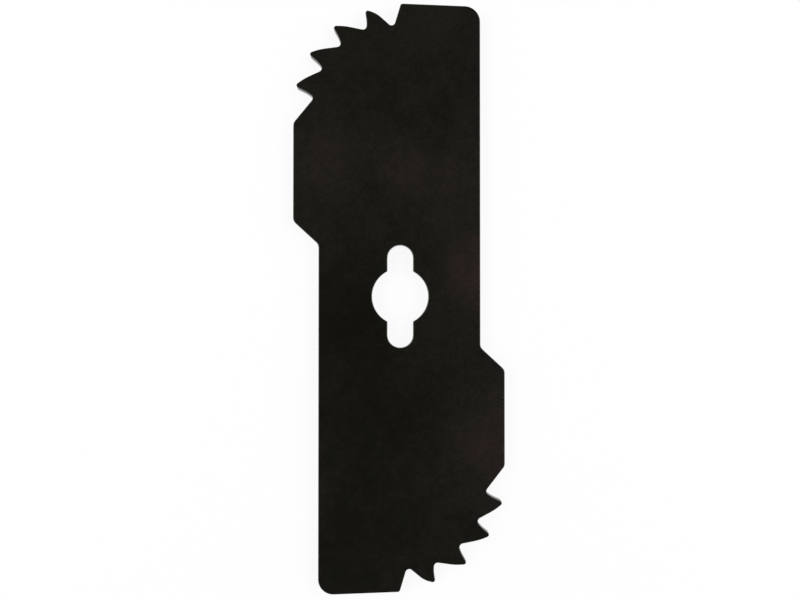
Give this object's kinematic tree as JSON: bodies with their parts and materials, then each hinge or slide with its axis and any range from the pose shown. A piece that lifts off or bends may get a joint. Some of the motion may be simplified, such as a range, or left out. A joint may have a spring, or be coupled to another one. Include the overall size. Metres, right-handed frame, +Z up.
{
  "type": "grass trimmer blade",
  "caption": "Flat black steel cutting blade: a straight bar with a saw-toothed lobe at each end and a round arbor hole crossed by a drive slot.",
  "frame": {"origin": "centre of the arbor hole, on the face the blade lies on", "axes": "+Y along the blade, +X across it, +Z up through the arbor hole"},
  "size_m": [0.0684, 0.1906, 0.0025],
  "materials": {
    "black_paint": "satin black paint, lightly mottled"
  },
  "bodies": {
    "root": {"blade": "black_paint"}
  },
  "joints": []
}
